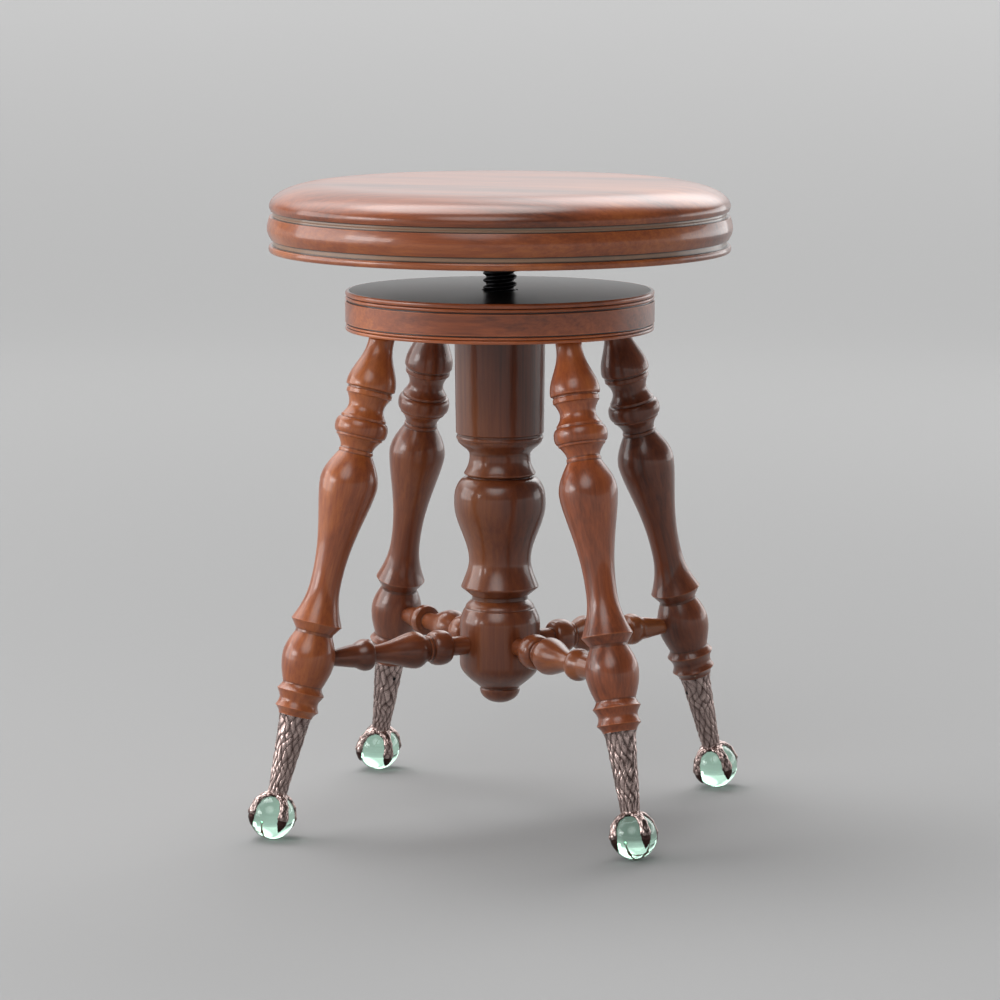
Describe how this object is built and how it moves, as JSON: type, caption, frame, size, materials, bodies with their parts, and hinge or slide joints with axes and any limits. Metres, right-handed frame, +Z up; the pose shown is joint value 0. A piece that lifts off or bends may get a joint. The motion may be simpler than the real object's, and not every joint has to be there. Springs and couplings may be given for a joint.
{
  "type": "piano stool",
  "caption": "Revolving piano stool: round wooden seat on a lifting screw, over turned legs and stretchers with cast claw feet gripping green glass balls.",
  "frame": {"origin": "on the floor, on the stool's turning axis, midway between the four ball feet", "axes": "+Z up along the lifting screw; the legs stand on the diagonals, 45 degrees from +X and +Y; -Y is the front"},
  "size_m": [0.356, 0.356, 0.4896],
  "materials": {
    "lacquered_wood": "reddish-brown stained hardwood under a gloss varnish",
    "antique_bronze": "rough cast metal with a worn copper-bronze finish, its nails darkened",
    "green_glass": "clear pressed glass with a pale green tint",
    "black_japan": "sheet iron in glossy black japan",
    "black_iron": "cast iron, painted black",
    "black_steel": "blackened steel, lightly oiled"
  },
  "bodies": {
    "base": {"top_plate": "black_japan", "screw_nut": "black_steel", "nut_screws": "black_steel", "base_disc": "lacquered_wood", "column": "lacquered_wood", "foot_pins": "black_steel", "leg_1": "lacquered_wood", "leg_2": "lacquered_wood", "leg_3": "lacquered_wood", "leg_4": "lacquered_wood", "stretcher_1": "lacquered_wood", "stretcher_2": "lacquered_wood", "stretcher_3": "lacquered_wood", "stretcher_4": "lacquered_wood", "claw_1": "antique_bronze", "claw_2": "antique_bronze", "claw_3": "antique_bronze", "claw_4": "antique_bronze", "ball_1": "green_glass", "ball_2": "green_glass", "ball_3": "green_glass", "ball_4": "green_glass"},
    "riser": {"stop_washer": "black_steel"},
    "seat": {"crown_board": "lacquered_wood", "band_board": "lacquered_wood", "seat_hub": "black_iron", "hub_screws": "black_steel", "lift_screw": "black_steel", "stop_nut": "black_steel"}
  },
  "joints": [
    {"name": "seat_lift", "type": "slide", "parent": "base", "child": "riser", "axis": [0, 0, 1], "range_m": [-0.015, 0.1]},
    {"name": "seat_turn", "type": "hinge", "parent": "riser", "child": "seat", "pos_m": [0, 0, 0.3], "axis": [0, 0, 1], "range_deg": [-964, 6428]}
  ],
  "couplings": [
    {"joint": "seat_lift", "follows": "seat_turn", "m_per_rad": 0.00089127}
  ]
}
